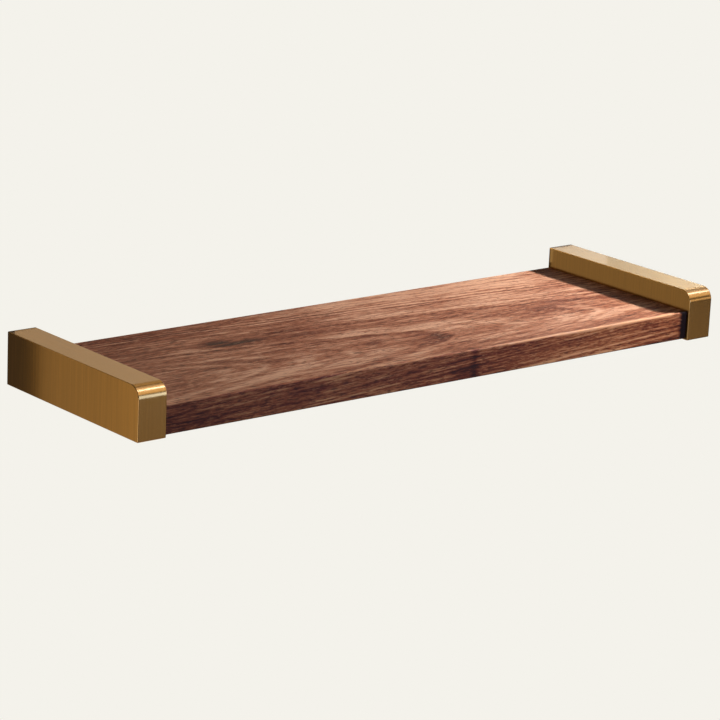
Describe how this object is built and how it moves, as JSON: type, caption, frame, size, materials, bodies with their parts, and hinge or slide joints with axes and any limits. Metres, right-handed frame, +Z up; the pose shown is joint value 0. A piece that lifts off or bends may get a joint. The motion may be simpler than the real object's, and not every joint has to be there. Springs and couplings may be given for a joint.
{
  "type": "wall shelf with brackets",
  "caption": "Short wooden wall shelf held between brushed brass bracket bars that stand above the board as low rims, on hidden wall plates.",
  "frame": {"origin": "centre of the four wall screw holes, on the wall's surface", "axes": "+X along the wall to the right as seen from the room, +Y into the wall, +Z up"},
  "size_m": [0.4, 0.12, 0.029],
  "materials": {
    "walnut": "oiled",
    "brushed_brass": "brushed",
    "brass_screws": "satin",
    "zinc_plated_steel": "zinc plated",
    "ground_steel": "ground",
    "blackened_steel": "blackened"
  },
  "bodies": {
    "root": {"shelf_board": "walnut", "left_bracket": "brushed_brass", "right_bracket": "brushed_brass", "left_wall_plate": "zinc_plated_steel", "right_wall_plate": "zinc_plated_steel", "left_grub_screw": "blackened_steel", "right_grub_screw": "blackened_steel", "left_support_ledge": "brushed_brass", "right_support_ledge": "brushed_brass", "left_rear_pin": "ground_steel", "left_front_pin": "ground_steel", "right_rear_pin": "ground_steel", "right_front_pin": "ground_steel", "left_rear_machine_screw": "brass_screws", "left_front_machine_screw": "brass_screws", "right_rear_machine_screw": "brass_screws", "right_front_machine_screw": "brass_screws", "left_rear_wood_screw": "brass_screws", "left_front_wood_screw": "brass_screws", "right_rear_wood_screw": "brass_screws", "right_front_wood_screw": "brass_screws"}
  },
  "joints": []
}
